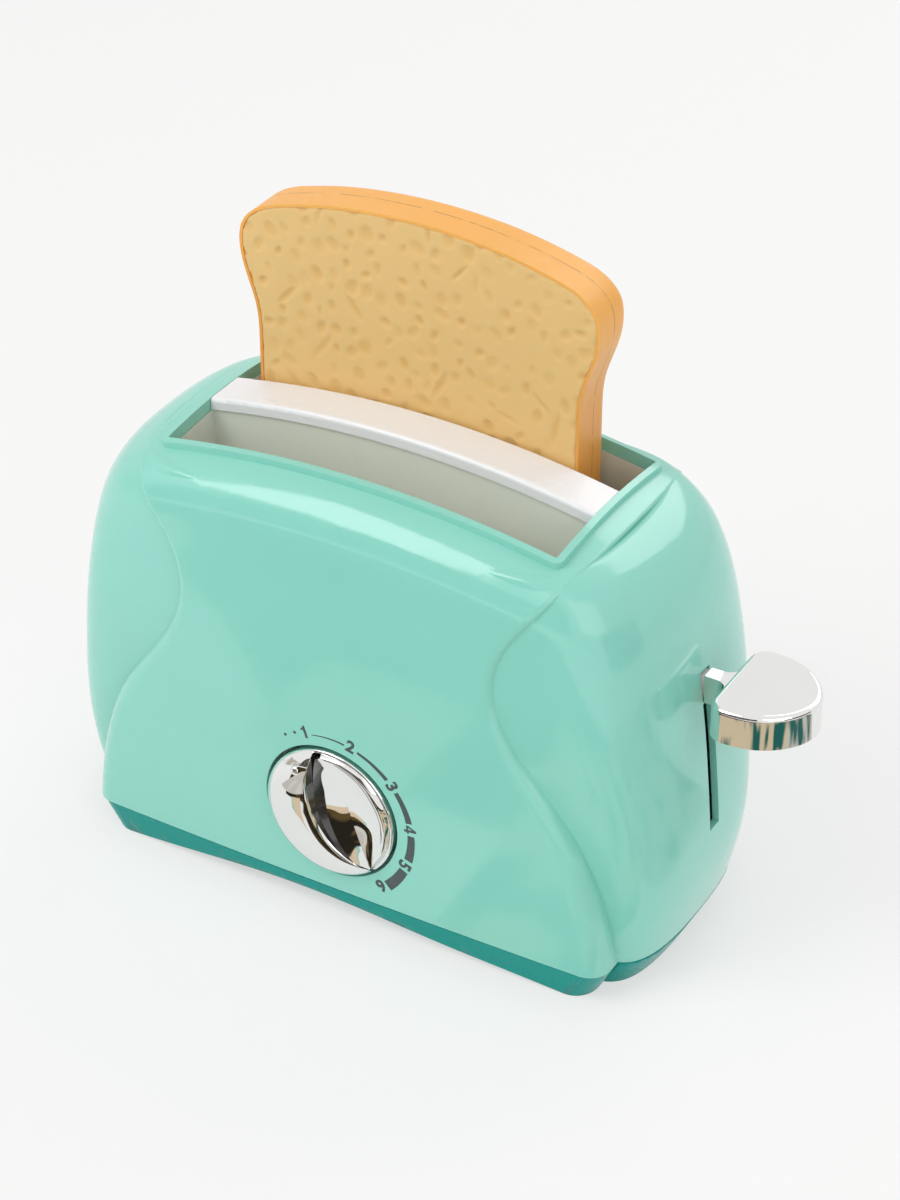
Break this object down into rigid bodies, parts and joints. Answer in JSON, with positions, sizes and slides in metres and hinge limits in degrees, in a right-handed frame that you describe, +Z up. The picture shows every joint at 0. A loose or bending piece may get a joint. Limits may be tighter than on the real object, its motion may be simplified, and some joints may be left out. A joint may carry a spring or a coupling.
{
  "type": "toy toaster",
  "caption": "Play toaster with rounded ends, a lever that lowers the trays, a turning dial over a clockwork timer, and a pretend slice of toast standing in the rear slot.",
  "frame": {"origin": "middle of the base, on the surface that the toaster stands on", "axes": "+X along the body towards the lever, +Y from the dial side to the back, +Z up"},
  "size_m": [0.233, 0.0976, 0.2063],
  "materials": {
    "shell_mint": "gloss",
    "base_teal": "gloss",
    "liner_grey": "satin",
    "bar_white": "gloss",
    "plated": "mirror-bright plating",
    "steel": "brushed",
    "spring_steel": "satin",
    "wheel_brass": "satin",
    "mechanism_plastic": "matt",
    "bumper_rubber": "matt",
    "crust_orange": "satin",
    "crumb_tan": "satin"
  },
  "bodies": {
    "housing": {"front_shell": "shell_mint", "rear_shell": "shell_mint", "base_pan": "base_teal", "slot_liner": "liner_grey", "divider_bar": "bar_white", "shell_screws": "steel", "base_screws": "steel", "guide_rods": "steel", "rod_bracket": "mechanism_plastic", "bracket_screws": "steel", "stop_bumpers": "bumper_rubber", "return_springs": "spring_steel", "timer_front_plate": "steel", "timer_back_plate": "steel", "timer_pillars": "steel", "timer_screws": "steel", "mainspring": "spring_steel", "latch_pin": "steel", "latch_spring": "spring_steel"},
    "lever": {"lever_paddle": "plated", "lever_arm": "mechanism_plastic", "paddle_screw": "steel", "carriage": "mechanism_plastic", "front_tray": "mechanism_plastic", "rear_tray": "mechanism_plastic"},
    "dial": {"timer_knob": "plated", "knob_shaft": "steel", "main_wheel": "wheel_brass", "release_cam": "mechanism_plastic"},
    "second_gear": {"second_wheel": "wheel_brass"},
    "escape_gear": {"escape_wheel": "wheel_brass"},
    "pallet_fork": {"pallet": "wheel_brass"},
    "latch": {"latch_lever": "mechanism_plastic"},
    "toast": {"crust_front": "crust_orange", "crust_rear": "crust_orange", "crumb_front": "crumb_tan", "crumb_rear": "crumb_tan"}
  },
  "joints": [
    {"name": "lever_slide", "type": "slide", "parent": "housing", "child": "lever", "axis": [0, 0, -1], "range_m": [0, 0.042], "stiffness_N_per_m": 80, "springref_m": -0.03, "deforming": ["return_springs"]},
    {"name": "timer_turn", "type": "hinge", "parent": "housing", "child": "dial", "pos_m": [-0.0004, -0.03, 0.0387], "axis": [0, 1, 0], "range_deg": [0, 180]},
    {"name": "second_spin", "type": "hinge", "parent": "housing", "child": "second_gear", "pos_m": [-0.01339, -0.03, 0.0312], "axis": [0, 1, 0], "range_deg": [-720.1, 0.1]},
    {"name": "escape_spin", "type": "hinge", "parent": "housing", "child": "escape_gear", "pos_m": [-0.00536, -0.03, 0.02162], "axis": [0, 1, 0], "range_deg": [-0.1, 2880.1]},
    {"name": "pallet_rock", "type": "hinge", "parent": "housing", "child": "pallet_fork", "pos_m": [0.0062, -0.03, 0.02061], "axis": [0, 1, 0], "range_deg": [-4, 4]},
    {"name": "latch_swing", "type": "hinge", "parent": "housing", "child": "latch", "pos_m": [0.064, -0.0122, 0.015], "axis": [0, 1, 0], "range_deg": [-0.05, 3.55], "deforming": ["latch_spring"]},
    {"name": "toast_lift", "type": "slide", "parent": "lever", "child": "toast", "axis": [0, 0, 1], "range_m": [0, 0.06]}
  ],
  "couplings": [
    {"joint": "second_spin", "follows": "timer_turn", "ratio": -4},
    {"joint": "escape_spin", "follows": "timer_turn", "ratio": 16},
    {"joint": "latch_swing", "follows": "timer_turn", "ratio": 0.019444}
  ]
}
